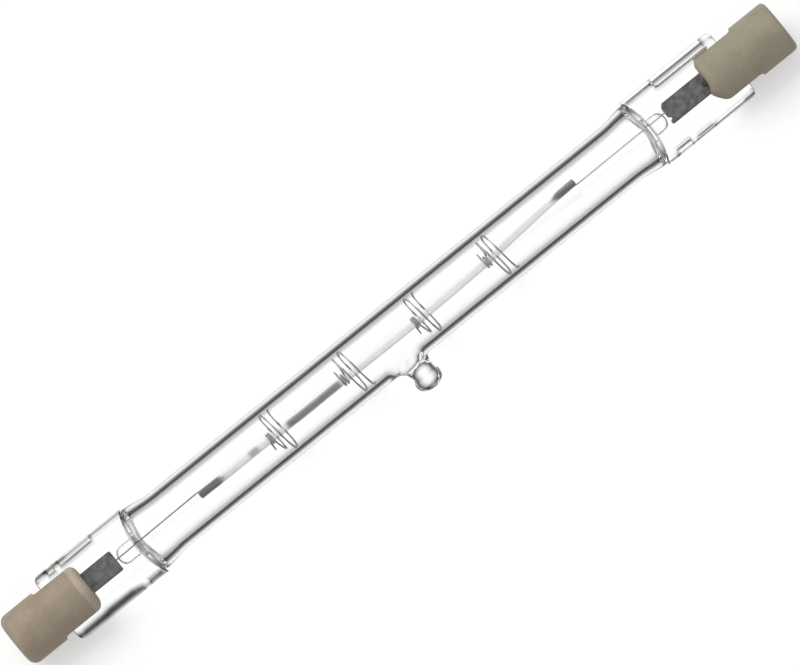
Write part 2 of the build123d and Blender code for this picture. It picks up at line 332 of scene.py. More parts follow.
# %% Steatite and cement
def mineral_finish(name, shades, grain=3500.0, roughness=0.6, bump_height=0.00003, painted_highlight_band=None):
    """A matte mineral: broad clouds of colour with a fine grain over them, and a pitted skin.

    A band, where it is given, is a place along the lamp and the lighter colour to the right of it:
    this paints a highlight on the rim at the cap's front.
    """
    add, finished = new_material(name)
    place = add("ShaderNodeTexCoord").outputs["Object"]
    cloud = add("ShaderNodeTexNoise", {"Vector": place, "Scale": 420.0, "Detail": 4.0}).outputs["Fac"]
    inputs = {"Vector": place, "Scale": grain, "Detail": 5.0, "Roughness": 0.6}
    fine = add("ShaderNodeTexNoise", inputs).outputs["Fac"]
    tone = ramp(add, cloud, [(0.3, shades[0]), (0.7, shades[1])])
    colour = multiplied(add, tone, ramp(add, fine, [(0.3, 0.88), (0.7, 1.07)]))
    # The band paints a highlight: a lighter colour over the front rim of the cap.
    if painted_highlight_band:
        start, painted_tint = painted_highlight_band
        along = add("ShaderNodeSeparateXYZ", {"Vector": place}).outputs["X"]
        wavy = worked(add, "MULTIPLY_ADD", cloud, 0.0004, along)
        share = share_between(add, wavy, start * MM, (start + 0.25) * MM)
        colour = multiplied(add, colour, ramp(add, share, [(0.0, 1.0), (1.0, painted_tint)]))
    bump = add("ShaderNodeBump", {"Strength": 0.5, "Distance": bump_height, "Height": fine}).outputs["Normal"]
    return finished(add("ShaderNodeBsdfPrincipled", {"Base Color": colour, "Roughness": roughness, "Normal": bump}))


pinkish, olive = ((0.30, 0.24, 0.172), (0.355, 0.29, 0.212)), ((0.285, 0.25, 0.18), (0.335, 0.295, 0.215))
steatite = {
    # The left cap carries a painted highlight on its front rim.
    -1: mineral_finish("pinkish_steatite_painted_highlight", pinkish, painted_highlight_band=(-48.75, (1.36, 1.4, 1.55))),
    1: mineral_finish("olive_steatite", olive),
}
cement_skin = mineral_finish("pale_cement", ((0.50, 0.42, 0.37), (0.60, 0.52, 0.47)), 3000.0, 0.85, 0.00008)

# %% [markdown]
# ## The quartz envelope: outer skin
#
# The envelope is drawn from one quartz tube. Near each end the tube is heated, pressed flat round
# the foil, and its sides are left a little thicker as rails. In the middle the pump stem is
# melted off and leaves a small ball on a neck. The outside is one sheet: 128 columns go round and
# the rows go along, so a column can slide from the round tube onto the pressed section.

# %% Sizes of the envelope
pinch_end = {-1: 52.4, 1: 51.5}
shoulder = {-1: 40.2, 1: 39.0}
tongue_end = {-1: 42.85, 1: 41.1}
flare_length, flare_growth, flare_narrowing = 5.2, 0.45, 0.1
shoulder_power, shoulder_bow = {-1: 16, 1: 24}, 0.055
corner_round, face_round, mean_half_width, mean_half_height = 0.8, 0.3, 4.55, 1.3
columns, flare_rows = 128, 30
turn = 2 * pi * np.arange(columns) / columns
print("envelope from", -pinch_end[-1], "to", pinch_end[1], "mm")

# %% [markdown]
# No two edges of a pressed end are alike, since the soft quartz goes where the jaws let it. Each
# edge has a small table. At some places along the lamp it says how wide the end is, and where and
# how steep its two bevels are. Quartz shows a bevel of about 30 degrees as a dark line, because the
# two faces together bend a ray by 40 degrees. A ray that enters a bevel on the front leaves 0.43 mm
# further in on the back, so the bevels on the back are set in by that much.

# %% Edge tables: place, half width, ledge, bevel, its slope, rail, second bevel, its slope
edge_tables = {
    (-1, 1): [
        (39.0, 4.66, 0.03, 0.38, 26.5, 0.67, 0.40, 0),
        (43.5, 4.67, 0.03, 0.38, 26.5, 0.67, 0.40, 0),
        (43.9, 4.67, 0.03, 0.38, 26.5, 0.60, 0.40, 29.5),
        (47.4, 4.68, 0.03, 0.42, 27, 0.67, 0.42, 30),
        (47.8, 4.68, 0.03, 0.42, 30.3, 0.67, 0.42, 30),
        (48.8, 4.68, 0.03, 0.42, 30.3, 0.67, 0.42, 30),
        (49.0, 4.68, 0.03, 0.42, 30.3, 0.67, 0.42, 8),
        (49.3, 4.68, 0.03, 0.42, 30.3, 0.67, 0.42, 8),
        (49.5, 4.68, 0.03, 0.42, 30.3, 0.67, 0.42, 30),
        (50.6, 4.68, 0.03, 0.42, 30.3, 0.70, 0.42, 29),
        (50.9, 4.68, 0.03, 0.42, 30.3, 0.70, 0.42, 0),
        (52.4, 4.68, 0.03, 0.42, 30, 0.70, 0.42, 0),
    ],
    (-1, -1): [
        (39.0, 4.62, 0.03, 0.60, 26, 1.30, 0.30, 0),
        (39.8, 4.78, 0.03, 0.80, 30, 1.30, 0.30, 0),
        (41.6, 4.80, 0.03, 0.80, 30, 1.30, 0.30, 0),
        (41.8, 4.78, 0.03, 0.50, 24, 1.30, 0.30, 0),
        (42.3, 4.78, 0.03, 0.50, 24, 1.30, 0.30, 0),
        (42.5, 4.80, 0.03, 0.74, 30, 1.30, 0.30, 0),
        (44.0, 4.80, 0.03, 1.05, 30.8, 1.30, 0.30, 0),
        (47.4, 4.80, 0.03, 1.10, 30.8, 1.30, 0.30, 0),
        (48.4, 4.80, 0.03, 1.00, 30.4, 1.30, 0.30, 0),
        (51.2, 4.78, 0.03, 0.95, 29.6, 1.30, 0.30, 0),
        (52.4, 4.72, 0.03, 0.75, 28, 1.30, 0.30, 0),
    ],
    (1, 1): [
        (38.0, 4.60, 0.10, 0.42, 29, 1.11, 0.40, 0),
        (38.8, 4.80, 0.28, 0.42, 30, 1.11, 0.40, 0),
        (42.1, 4.84, 0.32, 0.44, 30, 0.90, 0.40, 0),
        (42.3, 4.84, 0.32, 0.44, 30, 0.95, 0.42, 29),
        (42.8, 4.84, 0.32, 0.46, 30.5, 1.11, 0.44, 29.5),
        (50.0, 4.84, 0.32, 0.46, 30.5, 1.11, 0.44, 29.5),
        (50.4, 4.84, 0.32, 0.46, 20, 1.11, 0.44, 10),
        (51.5, 4.84, 0.32, 0.46, 20, 1.11, 0.44, 0),
    ],
    (1, -1): [
        (38.0, 4.60, 0.03, 0.30, 27, 0.56, 0.36, 0),
        (39.6, 4.70, 0.03, 0.30, 27, 0.56, 0.36, 0),
        (39.9, 4.70, 0.03, 0.30, 27, 0.56, 0.38, 30.5),
        (41.9, 4.70, 0.03, 0.30, 27, 0.56, 0.38, 30.5),
        (42.2, 4.70, 0.03, 0.30, 26, 0.50, 0.34, 0),
        (42.7, 4.70, 0.03, 0.28, 28, 0.36, 0.32, 28),
        (45.2, 4.70, 0.03, 0.28, 28, 0.36, 0.32, 28),
        (45.7, 4.68, 0.03, 0.30, 27, 0.50, 0.34, 0),
        (49.6, 4.66, 0.03, 0.30, 27, 0.50, 0.34, 0),
        (50.0, 4.70, 0.03, 0.45, 28.5, 0.60, 0.34, 0),
        (51.5, 4.70, 0.03, 0.45, 28.5, 0.60, 0.34, 0),
    ],
}
rail_high, web_high, set_in = 1.45, 1.2, 0.43
control_places = np.concatenate([np.linspace(0, 9.5, 29), [10.1, 10.7, 11.4, 12.0]])
print("edge stations", {key: len(table) for key, table in edge_tables.items()})


# %% Section of a pressed end
def edge_quarter(x, table, inwards):
    """A quarter section at each x, 33 points: a quadratic B-spline through twelve control points.

    A point is half of (1-f) squared times the first control, plus 1+2f-2f squared times the
    second, plus f squared times the third, so it rounds every corner and never overshoots. Each
    bevel has a control in its middle, which keeps its slope even, and both lie the given way
    further in. Behind the rail the height falls slowly to the web's.
    """
    table = np.array(table)
    wide, ledge, bevel, slope, rail, step, step_slope = (np.interp(x, table[:, 0], v) for v in table.T[1:])
    first, second = wide - (ledge + inwards), wide - (rail + inwards)
    inner = rail_high - step * np.tan(np.radians(step_slope))
    outer = inner - bevel * np.tan(np.radians(slope))
    y = [wide, wide, wide - 0.03, first, first - bevel / 2, first - bevel]
    y += [second, second - step / 2, second - step, 2.2, 0.8, 0]
    z = [0, outer - 0.12, outer, outer, (outer + inner) / 2, inner]
    z += [inner, (inner + rail_high) / 2, rail_high, web_high + 0.1, web_high, web_high]
    controls = np.pad(np.stack([stacked(*y), stacked(*z)]), ((0, 0), (0, 0), (1, 1)), "edge")
    part = np.minimum(control_places.astype(int), 11)
    f = control_places - part
    weights = 0.5 * np.stack([(1 - f) ** 2, 1 + 2 * f - 2 * f**2, f**2])
    return sum(weights[k] * controls[..., part + k] for k in range(3))


def pressed_section(side, x):
    """The whole section, a ring of 128: for front and back, the upper edge's quarter and the lower's."""
    x = np.atleast_1d(x)
    mirror = np.array([-1, 1]).reshape(2, 1, 1)
    halves = []
    for inwards in (0.0, set_in):
        upper, lower = (edge_quarter(x, edge_tables[side, edge], inwards) for edge in (1, -1))
        halves.append(np.concatenate([upper, (lower * mirror)[..., -2::-1]], axis=-1))
    front, back = halves
    return np.concatenate([front, (back * -mirror)[..., -2:0:-1]], axis=-1)


# %% One end of the outer skin, from the tube out to the closed edge
def round_off(gap, radius):
    """How far an edge falls back at a gap from its end: the radius less the circle's height."""
    missing = np.clip(radius - gap, 0, radius)
    return radius - np.sqrt(radius**2 - missing**2)


def fall_rows(power):
    """31 shares of the way, and how much of the round is left there.

    The share's power and the rest's power sum to one. The rows take even steps at first, then even
    turns of the curve, and last some heights close to its foot.
    """
    turns = np.linspace(asin(0.9 ** (power / 2)), radians(80), 15)
    share = np.concatenate([np.linspace(0, 0.9, 10)[:-1], np.sin(turns) ** (2 / power)])
    rest = np.concatenate([(1 - share**power) ** (1 / power), [0.55, 0.4, 0.27, 0.16, 0.08, 0.03, 0.0]])
    return np.concatenate([share, (1 - rest[-7:] ** power) ** (1 / power)]), rest


def outer_end(side):
    """Rows of one end: the round is kept long and then falls quickly, and the flat runs out.

    Each column slides from the circle to its place on the pressed section, and the foot of the
    shoulder is rounded by averaging neighbouring rows.
    """
    start = shoulder[side] - flare_length
    share, rest = fall_rows(shoulder_power[side])
    y_flat, z_flat = pressed_section(side, shoulder[side])
    round_part = rest[:, None]
    slide = ease(share, 0, 1)[:, None]
    wide, tall = tube_radius + flare_growth * slide, tube_radius - flare_narrowing * slide
    z = z_flat * (1 - round_part) + round_part * tall * np.sin(turn)
    y = (1 - round_part) * y_flat + round_part * wide * np.cos(turn)
    x = start + share[:, None] * (shoulder[side] - shoulder_bow * y**2 - start)
    first, stop = shoulder[side] + 1.0, pinch_end[side]
    near = np.linspace(0, 1, 9)[1:, None]
    y_near, z_near = pressed_section(side, shoulder[side] + near[:, 0])
    flat = np.linspace(first, stop - corner_round, 56)[1:]
    far = np.concatenate([flat, stop - corner_round * (1 - np.sin(np.linspace(0, pi / 2, 14)[1:]))])[:, None]
    y_far, z_far = pressed_section(side, far[:, 0])
    y_far = y_far * (1 - round_off(stop - far, corner_round) / mean_half_width)
    z_far = z_far * (1 - round_off(stop - far, face_round) / mean_half_height)
    parts = [(x, y, z), (x[-1] + near * (first - x[-1]), y_near, z_near), (far, y_far, z_far)]
    rows = np.concatenate([stacked(*part) for part in parts])
    low, high = flare_rows - 4, flare_rows + 4
    for _ in range(2):
        rows[low:high] = (rows[low - 1 : high - 1] + 2 * rows[low:high] + rows[low + 1 : high + 1]) / 4
    rows[..., 0] *= side
    return rows[::side]


ends = {side: outer_end(side) for side in (-1, 1)}
print("rows of an end", {side: len(rows) for side, rows in ends.items()})

# %% [markdown]
# The tube between the ends is plain. The tip grows out of a square window in it: the window's
# edge points are carried inwards ring by ring, first to a circle that still lies on the tube, and
# then along the profile of the neck and the ball to a pole at the far end.


# %% Tube rows, with closer rows where the tip grows
window_size, tube_stops = 40, 24
window = tube_radius * sin(pi * window_size / columns)
left_start, right_start = -(shoulder[-1] - flare_length), shoulder[1] - flare_length


def tube_places(half, stops, fine_stops):
    """Places along the tube: fine ones within the given half length of the tip, coarser outside."""
    low, high = tip_x - half, tip_x + half
    left, right = np.linspace(left_start, low, stops), np.linspace(high, right_start, stops)
    return np.concatenate([left[1:-1], np.linspace(low, high, fine_stops), right[1:-1]])


tube_x = tube_places(window, tube_stops, window_size + 1)
tube_rows = stacked(tube_x[:, None], tube_radius * np.cos(turn), tube_radius * np.sin(turn))
skin = np.concatenate([ends[-1], tube_rows, ends[1]])
window_row, first_column = len(ends[-1]) + tube_stops - 2, (columns - window_size) // 2
print("skin", skin.shape, "window starts at row", window_row, "x", skin[window_row, 0, 0].round(3))


# %% A smooth line through a few points
def smooth_line(points, count):
    """A Catmull-Rom line: between two points a cubic whose slopes are half the neighbours' span."""
    points = np.asarray(points, float)
    padded = np.concatenate([[2 * points[0] - points[1]], points, [2 * points[-1] - points[-2]]])
    place = np.linspace(0, len(points) - 1, count)
    part = np.minimum(place.astype(int), len(points) - 2)
    t = (place - part)[:, None]
    a, b, c, d = (padded[part + k] for k in range(4))
    return 0.5 * (2 * b + (c - a) * t + (2 * a - 5 * b + 4 * c - d) * t**2 + (3 * b - a - 3 * c + d) * t**3)


# %% The sealed tip
tip_ball = [
    (1.535, 5.38), (1.56, 5.65), (1.64, 5.9), (1.735, 6.15), (1.785, 6.4), (1.78, 6.6), (1.72, 6.82), (1.6, 7.04),
    (1.42, 7.25), (1.18, 7.43), (0.9, 7.57), (0.6, 7.67), (0.3, 7.725), (0.0, 7.74),
]
tip_flanks = {
    -1: [(3.2, 3.99), (2.88, 4.05), (2.55, 4.15), (2.2, 4.33), (1.9, 4.55), (1.7, 4.8), (1.58, 5.1), *tip_ball],
    1: [(3.2, 3.99), (2.5, 4.0), (2.0, 4.02), (1.76, 4.14), (1.64, 4.42), (1.57, 4.75), (1.53, 5.08), *tip_ball],
}
tip_end, ball_flat = tip_ball[-1][1], 0.115
cone_half, cone_reach, cone_slope = 1.53, 6.75, 0.585
run, high = np.arange(window_size), np.full(window_size, window_size)
edge_rows = np.concatenate([0 * run, run, high, high - run])
edge_columns = np.concatenate([run, high, high - run, 0 * run])
edge_index = (window_row + edge_rows) * columns + first_column + edge_columns
edge_points = skin.reshape(-1, 3)[edge_index]


def tip_rings():
    """Rings from the window's edge to the tip's end: distance from the stem and reach from the axis.

    While the distance is large the reach follows the tube, the root of 16 less z squared, and it
    goes over to the profile as the neck begins. The neck's flank is long on the left and short on
    the right. The ball is flatter through the lamp, and towards its end its half depth falls
    evenly, which shows as a dark band.
    """
    off_x, off_z = edge_points[:, 0] - tip_x, edge_points[:, 2]
    angle, far = np.arctan2(off_z, off_x), np.hypot(off_x, off_z)
    first_off, first_reach = tip_flanks[1][0]
    left, right = (smooth_line(tip_flanks[side], 85)[:-1, None] for side in (-1, 1))
    leftness = ((1 - np.cos(angle)) / 2)[None, :, None]
    profile = leftness * left + (1 - leftness) * right
    come_in = np.linspace(0, 1, 7)[1:-1, None]
    distance = np.concatenate([far + come_in * (first_off - far), profile[..., 0]])
    reach = np.concatenate([np.full((5, len(far)), first_reach), profile[..., 1]])
    power = 1 + 0.04 * ease(reach, 5.2, 6.0)
    x, z = (distance * np.sign(v) * np.abs(v) ** power for v in (np.cos(angle), np.sin(angle)))
    z = z * (1 - ball_flat * ease(reach, 5.3, 6.3))
    cone = (cone_half - cone_slope * (reach - cone_reach)) / ((1 - ball_flat) * np.maximum(distance, 0.3))
    z = z * (1 + (np.clip(cone, 0.9, 1.32) - 1) * ease(reach, 6.6, 6.85))
    on_tube = np.sqrt(np.maximum(tube_radius**2 - z**2, 0.1))
    keep = ease((distance - 1.6) / (0.75 + 0.85 * leftness[..., 0]), 0, 1)
    return stacked(tip_x + x, -(keep * on_tube + (1 - keep) * reach), z)


rings = tip_rings()
print("tip rings", rings.shape, "reach", round(-float(rings[..., 1].min()), 3), "mm")


# %% Faces of the outer skin
def outer_skin():
    """Points and faces: the sheet without the window, the tip's rings, its pole and both ends.

    The two end faces look inwards, and so the cement behind them shows through the glass.
    """
    rows, inner = len(skin), rings[..., 0]
    quads = sheet_faces(rows, columns)
    row, column = quads[:, 0] // columns - window_row, quads[:, 0] % columns - first_column
    in_window = (row >= 0) & (row < window_size) & (column >= 0) & (column < window_size)
    here = np.concatenate([edge_index[None], rows * columns + np.arange(inner.size).reshape(inner.shape)])
    nxt = np.roll(here, -1, axis=1)
    tip_quads = stacked(here[:-1], nxt[:-1], nxt[1:], here[1:]).reshape(-1, 4)
    faces = quads[~in_window].tolist() + tip_quads.tolist()
    faces += fan_faces(here[-1], rows * columns + inner.size)
    faces += [f[::-1] for f in flat_ends(rows, columns)]
    return np.concatenate([skin.reshape(-1, 3), rings.reshape(-1, 3), [[tip_x, -tip_end, 0.0]]]), faces


outer_points, outer_faces = outer_skin()
outer_faces = facing(outer_points, outer_faces)
print("outer skin", len(outer_points), "points,", len(outer_faces), "faces")

# %% [markdown]
# ## The quartz envelope: the hollow
#
# Inside, the bore runs straight, widens a little in the flares and closes in a flat arc under each
# shoulder. A thin tongue of the hollow reaches on round the wire towards the foil, because the
# press doesn't close the quartz fully there. Under the tip the bore dips into the melted stem.


# %% The hollow as one sheet
wall_left, closing, hollow_growth, hollow_flare, hollow_bow = 0.65, 0.6, 0.28, 4.5, 0.25
tongue_wide, tongue_high, tongue_round, dip_depth = 1.3, 0.25, 1.0, 1.2


def hollow_end(side):
    """Half height falls like the outside's; half width swells, then closes as a quarter ellipse."""
    start, close = shoulder[side] - flare_length, shoulder[side] - wall_left
    share, rest = fall_rows(shoulder_power[side])
    x = start + share * (close - start)
    high = tongue_high + (bore_radius - tongue_high) * rest
    swell = bore_radius + hollow_growth * ease(x, start, close - closing)
    last = np.clip((x - (close - closing)) / closing, 0, 1)
    wide = tongue_wide + (swell - tongue_wide) * np.sqrt(1 - last**2)
    far, bend = tongue_end[side] - tongue_round, np.linspace(0, pi / 2, 13)[1:-1]
    x = np.concatenate([x, np.linspace(close, far, 8)[1:], far + tongue_round * np.sin(bend)])
    rounded = np.concatenate([np.ones(7), np.cos(bend)])
    wide = np.concatenate([wide, tongue_wide * rounded])
    high = np.concatenate([high, tongue_high * np.sqrt(rounded)])
    return stacked(side * x, wide, high)[::side]


def hollow_skin():
    """Elliptic rings with half width and half height, and a dip below the stem shaped as a bell.

    A tongue is up to twice as high on its lower side.
    """
    straight = stacked(tube_places(4, 22, 61), bore_radius, bore_radius)
    rows = np.concatenate([hollow_end(-1), straight, hollow_end(1)])
    x, y, z = rows[:, :1], rows[:, 1:2] * np.cos(turn), rows[:, 2:] * np.sin(turn)
    starts = {-1: -left_start, 1: right_start}
    in_end = [ease(side * x, starts[side], starts[side] + hollow_flare) for side in (-1, 1)]
    x = x - np.sign(x) * hollow_bow * shoulder_bow * y**2 * np.maximum(*in_end)
    in_tongue = [ease(side * x, shoulder[side] - closing, shoulder[side]) for side in (-1, 1)]
    z = z * (1 + np.maximum(*in_tongue) * ease(-y, 0.3, 1.2))
    bell = ease(x, -4.3, -1.4) * (1 - ease(x, -0.9, 1.4)) * np.exp(-((z / 1.2) ** 2))
    y = y - dip_depth * bell * (y < 0)
    poles = [[-tongue_end[-1], 0, 0], [tongue_end[1], 0, 0]]
    return np.concatenate([stacked(x, y, z).reshape(-1, 3), poles]), closed_rings(len(rows), columns)


inner_points, inner_faces = hollow_skin()
inner_faces = facing(inner_points, inner_faces, outward=False)
print("hollow", len(inner_points), "points,", round(-volume_of(inner_points, inner_faces) / 6), "mm3")

# %% The envelope as one closed wall
shifted = [[i + len(outer_points) for i in f] for f in inner_faces]
points, faces = np.concatenate([outer_points, inner_points]), outer_faces + shifted
envelope = make_piece("clear_envelope", points, faces, quartz, ["quartz_envelope"], "quartz")
envelope.data.materials.append(bore_quartz)
skin_index = np.concatenate([np.zeros(len(outer_faces), int), np.ones(len(inner_faces), int)])
envelope.data.polygons.foreach_set("material_index", skin_index)

# %% [markdown]
# ## Wires
#
# Filament, tails, supports and leads are all round wire, so one function carries a circle along a
# path. A hint, one for the whole path or one for each of its points, says which way is "out",
# which for a coil is away from its middle. The circle's plane is then square to the path, and
# nothing twists.


# %% A round wire along a path
def wire_tube(path, hints, radius, sides):
    """Rings of the given radius square to the path, with the hint less its part along the path."""
    hints = np.broadcast_to(np.array(hints, float), path.shape)
    radius = np.broadcast_to(radius, len(path))[:, None, None]
    heading = np.gradient(path, axis=0)
    heading /= np.linalg.norm(heading, axis=1, keepdims=True)
    out = hints - (hints * heading).sum(axis=1, keepdims=True) * heading
    out /= np.linalg.norm(out, axis=1, keepdims=True)
    angle = 2 * pi * np.arange(sides)[:, None] / sides
    circle = np.cos(angle) * out[:, None] + np.sin(angle) * np.cross(heading, out)[:, None]
    rings = (path[:, None] + radius * circle).reshape(-1, 3)
    return np.concatenate([rings, path[:1], path[-1:]]), closed_rings(len(path), sides)


# %% [markdown]
# ## The filament
#
# One tungsten wire is wound as a fine open coil. Its last turns at each end lie close, and from
# them the wire runs straight to the foil. A new coil is straight, but this one has sagged between
# its supports and its right end is fixed a little high, so its middle line follows the photo.

# %% The coil's middle line
coil_line = np.array(
    [
        (-30.5, -0.1), (-27.2, -0.16), (-19.7, -0.15), (-14.0, -0.24), (-8.4, -0.2), (-3.0, -0.24), (2.5, -0.25),
        (8.0, -0.14), (13.7, 0.03), (16.9, 0.3), (18.5, 0.42), (21.7, 0.62), (24.1, 0.8), (27.8, 0.92),
    ]
)


def coil_rise(x):
    """The middle line's height at x: straight between the listed points, then softened."""
    offsets = np.linspace(-1.2, 1.2, 9)
    heights = np.interp(np.asarray(x)[..., None] + offsets, coil_line[:, 0], coil_line[:, 1])
    return heights.mean(axis=-1)


# %% The wound wire
wire_radius, winding_radius, tail_radius = 0.055, 0.46, 0.09
wire_sides, tail_stops = 7, 24
foil_inner, foil_length = {-1: 43.1, 1: 41.35}, 8.0
open_pitch, dull_less, end_less = 0.25, 0.08, 0.12


def winding_pitch(x):
    """The open coil's pitch, less a little in the dull stretch and less still in the end turns."""
    close = np.maximum(1 - ease(x, -27.6, -27.0), ease(x, 24.6, 25.2))
    return open_pitch - dull_less * ease(x, -17.4, -16.8) * (1 - ease(x, -9.4, -8.8)) - end_less * close


def filament_path():
    """Angle grows with x as the running sum of one over the pitch, and the tails run out straight."""
    x = np.linspace(coil_line[0, 0], coil_line[-1, 0], 60001)
    per_mm = 1 / winding_pitch(x)
    turns = np.concatenate([[0], np.cumsum(0.5 * (per_mm[1:] + per_mm[:-1]) * np.diff(x))])
    total = round(turns[-1] - 0.5) + 0.5
    turns *= total / turns[-1]
    steps = np.linspace(0, total, int(total * 14) + 1)
    x = np.interp(steps, turns, x)
    out = stacked(0, np.cos(2 * pi * steps), np.sin(2 * pi * steps))
    coil = stacked(x, coil_rise(x), 0) + winding_radius * out
    left_x = np.linspace(-(foil_inner[-1] + 0.2), -30.7, tail_stops)
    right_x = np.linspace(28.0, foil_inner[1] + 0.2, tail_stops)
    left = stacked(left_x, np.interp(left_x, [-43.1, -30.6], [0.2, coil[0, 1]]), 0)
    right = stacked(right_x, np.interp(right_x, [27.9, 41.3], [coil[-1, 1], 0.5]), 0)
    up, tail = np.tile([0.0, 1.0, 0.0], (tail_stops, 1)), np.full(tail_stops, tail_radius)
    print("turns", round(total, 1), "wire", round(float(total * 2 * pi * winding_radius)), "mm long")
    radius = np.concatenate([tail, np.full(len(coil), wire_radius), tail])
    return np.concatenate([left, coil, right]), np.concatenate([up, out, -up]), radius


path, outs, radii = filament_path()
shell = wire_tube(path, outs, radii, wire_sides)
filament = make_piece("tungsten_filament", *shell, tungsten, ["filament"], "tungsten")
# Painted shade: a weight on the lower side of each turn, which the filament's finish darkens.
painted_lower_shade = ease(-outs[:, 1], 0.5, 0.95) * (radii < tail_radius)
painted_lower_shade = np.concatenate([np.repeat(painted_lower_shade, wire_sides), [0, 0]])
filament.data.attributes.new("painted_shade_below", "FLOAT", "POINT").data.foreach_set("value", painted_lower_shade)
print("share of the filament's points on its lower side", round(float(painted_lower_shade.mean()), 2))


# %% The dark inserts in the close turns
insert_ends, insert_radius = {-1: (-30.6, -26.5), 1: (27.9, 23.9)}, 0.3


def insert_rod(side):
    """A rod inside the end turns: rounded at its far end, and a long point at its near one."""
    far, near = insert_ends[side]
    t = np.linspace(0, 1, 40)
    x = far + (near - far) * t
    swell = insert_radius * np.sqrt(np.clip(t / 0.06, 0, 1)) * (1 - ease(t, 0.62, 1.0)) + 0.012
    return wire_tube(stacked(x, coil_rise(x), 0), (0, 1, 0), swell, 16)


for side, name in side_names.items():
    make_piece(f"dark_insert_{name}", *insert_rod(side), sooty_tungsten, [f"filament_core_{name}"], "tungsten")

# %% [markdown]
# ## The filament supports
#
# Each support is one springy wire. It is wound twice round the coil, goes outwards, and then turns
# as a ring that leans on the bore. The path is worked out from the number of turns made so far.

# %% A support wire: place along the lamp, height, the knot's pitch, and the phase of its turns
support_places = {
    1: (-19.7, -0.15, 0.3, 0.5),
    2: (-8.4, -0.2, 0.4, 0.0),
    3: (2.5, -0.25, 0.3, 0.5),
    4: (13.7, 0.03, 0.4, 0.0),
}
support_wire, ring_radius, knot_radius, ring_pitch = 0.12, 2.85, 0.68, 1.25
knot_turns, leg_turns, ring_turns, ring_lean = 2, 0.1, 1.42, 0.11
end_lift, leg_step = 0.75, 0.25


def support_wire_path(knot_x, rise, knot_pitch, phase):
    """Turns round the coil, a short leg straight out, then 1.42 ring turns at the bore.

    The ring's x grows with its turns plus a sine of twice the angle, so the wire moves on where it
    turns back at the top and bottom, and it falls with y, so the whole ring leans.
    """
    leg = knot_turns + leg_turns
    steps = [np.linspace(0, knot_turns, 24 * knot_turns), np.linspace(knot_turns, leg, 12)[1:]]
    turns = np.concatenate([*steps, np.linspace(leg, leg + ring_turns, 90)[1:]])
    out, first = ease(turns, knot_turns, leg), 1 - ease(turns, 0, 0.12)
    radius = knot_radius + (ring_radius - knot_radius) * out + end_lift * first
    ring = np.maximum(turns - leg, 0)
    angle, first_angle = 2 * pi * (turns + phase), 2 * pi * (leg + phase)
    sway = (np.sin(2 * angle) - np.sin(2 * first_angle)) * (ring > 0) / (4 * pi)
    y = rise * (1 - out) + radius * np.cos(angle)
    x = knot_x + knot_pitch * (np.minimum(turns, knot_turns) - knot_turns / 2)
    x = x + leg_step * out + ring_pitch * (ring + sway) - ring_lean * y * out
    return stacked(x, y, radius * np.sin(angle)), stacked(0, np.cos(angle), np.sin(angle))


for number, knot in support_places.items():
    path, outs = support_wire_path(*knot)
    shell = wire_tube(path, outs, support_wire, 10)
    make_piece(f"support_wire_{number}", *shell, support_tungsten, [f"filament_support_{number}"], "tungsten")

# %% [markdown]
# ## Foils and outer leads
#
# Molybdenum foil, only a few hundredths of a millimetre thick, carries the current through the
# pressed quartz. Its section is a thin lens, so that the quartz can follow its edges. Outside it a
# thick molybdenum lead is welded on and runs to the contact.


# %% Foils
foil_sides, cut_depth = 48, 0.45


def foil_sheet(side):
    """A lens section 3 mm wide: y follows a cosine, z a thin sine, with slow waves along the foil.

    The right foil's inner end has its upper corner cut off and a small notch.
    """
    inner, outer = foil_inner[side], foil_inner[side] + foil_length
    x = np.concatenate([[inner], np.linspace(inner + 0.02, outer - 0.02, 90), [outer]])[:, None]
    angle = 2 * pi * np.arange(foil_sides) / foil_sides
    half = 1.45 - 0.8 * round_off(x - inner, 0.25)
    y = half * np.sign(np.cos(angle)) * np.abs(np.cos(angle)) ** 0.55
    cut = cut_depth * (side > 0)
    y = y - np.clip(inner + cut - x, 0, cut) * ease(y, 0.2, 1.2)
    notch = cut * np.exp(-(((y + 0.7) / 0.17) ** 2)) * (1 - ease(x, inner, inner + 1.2))
    wave = 0.012 * np.sin(1.9 * x + 1.1 * y) + 0.01 * np.sin(4.3 * y - 2.2 * x)
    z = -0.125 + wave + 0.025 * np.sin(angle)
    points = stacked(side * (x + notch), foil_rise + y, z).reshape(-1, 3)
    faces = sheet_faces(len(x), foil_sides).tolist() + flat_ends(len(x), foil_sides)
    return points, facing(points, faces)


for side, name in side_names.items():
    make_piece(f"sealing_foil_{name}", *foil_sheet(side), molybdenum, [f"foil_{name}"], "molybdenum")


# %% Outer leads
lead_radius, lead_round, lead_depth = 0.4, 0.3, 0.3
lead_start, lead_stop = {-1: 48.2, 1: 46.9}, 56.5


def lead_rod(side):
    """A rod of radius 0.4 mm with both ends rounded over the last 0.3 mm."""
    start = lead_start[side]
    x = start + (lead_stop - start) * (1 - np.cos(np.linspace(0, pi, 40))) / 2
    radius = lead_radius - round_off(np.minimum(x - start, lead_stop - x), lead_round)
    points, faces = wire_tube(stacked(side * x, foil_rise, lead_depth), (0, 1, 0), radius, 24)
    return points, facing(points, faces)


for side, name in side_names.items():
    make_piece(f"lead_rod_{name}", *lead_rod(side), burnt_molybdenum, [f"outer_lead_{name}"], "molybdenum")

# %% [markdown]
# ## Ceramic caps
#
# A cap is pressed from steatite powder in a steel die and fired without glaze, so its edges come
# out rounded and its skin uneven. It is a cylinder with a slot for the pressed end and a recess for
# the contact. Each half of its outside is a sheet of arcs that start and end on the slot's edge,
# and the slot, the front faces and the recess are sheets that share their edge points with it.

